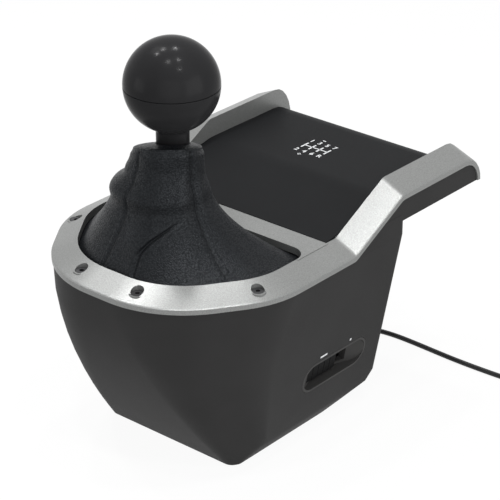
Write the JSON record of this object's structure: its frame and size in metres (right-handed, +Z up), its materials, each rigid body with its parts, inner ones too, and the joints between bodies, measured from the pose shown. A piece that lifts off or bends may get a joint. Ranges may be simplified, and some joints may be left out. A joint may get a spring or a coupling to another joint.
{
  "type": "sim racing gear shifter",
  "caption": "Desk-mounted H-pattern gear shifter with a leather boot, ball knob, silver bezel, rear overhang for the desk edge, side mode switch and USB lead.",
  "frame": {"origin": "bottom centre of the bounding box, on the table under the feet", "axes": "+X to the driver's right, +Y away from the driver, +Z up"},
  "size_m": [0.2247, 0.287, 0.2314],
  "materials": {
    "body_plastic": "matte, fine spark texture",
    "silver_plastic": "satin silver paint, fine grain",
    "panel_plastic": "satin black, fine texture",
    "boot_leather": "sewn synthetic leather",
    "knob_plastic": "satin black",
    "black_plastic": "moulded black",
    "switch_plastic": "moulded dark grey",
    "steel": "plain steel",
    "dark_steel": "blackened steel",
    "bronze": "plain bearing bronze and brass",
    "cast_alloy": "die-cast",
    "board": "circuit board",
    "rubber": "soft black",
    "magnet": "plated magnet"
  },
  "bodies": {
    "housing": {"main_shell": "body_plastic", "base_plate": "black_plastic", "rubber_feet": "rubber", "base_screws": "dark_steel", "mount_inserts": "bronze", "bezel_frame": "silver_plastic", "bezel_screws": "dark_steel", "top_panel": "panel_plastic", "panel_screws": "dark_steel", "boot_retainer": "black_plastic", "shift_boot": "boot_leather", "chassis_plate": "steel", "chassis_posts": "steel", "chassis_screws": "dark_steel", "pivot_bracket": "steel", "bracket_screws": "dark_steel", "select_bushes": "bronze", "gate_posts": "steel", "gate_plate": "steel", "gate_screws": "dark_steel", "centring_spring": "steel", "select_sensor": "board", "main_board": "board", "board_posts": "bronze", "switch_bezel": "switch_plastic", "switch_board": "board", "strain_relief": "rubber", "cable_run": "rubber", "cable_coil": "rubber", "cable_tail": "rubber", "cable_tie": "black_plastic", "plug_grip": "rubber", "plug_shell": "steel"},
    "select_frame": {"gimbal_frame": "cast_alloy", "select_pins": "steel", "select_magnet": "magnet", "centring_arm": "steel", "shift_bushes": "bronze", "detent_leaf": "steel", "shift_sensor": "board"},
    "lever": {"lever_shaft": "steel", "lever_hub": "cast_alloy", "shift_axle": "steel", "axle_clips": "dark_steel", "gate_pin": "steel", "shift_magnet": "magnet", "detent_sector": "steel", "boot_collar": "black_plastic", "knob_neck": "knob_plastic", "knob_insert": "bronze", "knob_lower": "knob_plastic", "knob_upper": "knob_plastic"},
    "slider": {"mode_slider": "switch_plastic"}
  },
  "joints": [
    {"name": "select", "type": "hinge", "parent": "housing", "child": "select_frame", "pos_m": [0, -0.056, 0.088], "axis": [0, 1, 0], "range_deg": [-10, 20], "stiffness_Nm_per_rad": 2, "deforming": ["centring_spring", "shift_boot"]},
    {"name": "shift", "type": "hinge", "parent": "select_frame", "child": "lever", "pos_m": [0, -0.056, 0.088], "axis": [-1, 0, 0], "range_deg": [-12, 12], "deforming": ["detent_leaf"]},
    {"name": "mode_switch", "type": "slide", "parent": "housing", "child": "slider", "axis": [0, 1, 0], "range_m": [0, 0.01]}
  ]
}
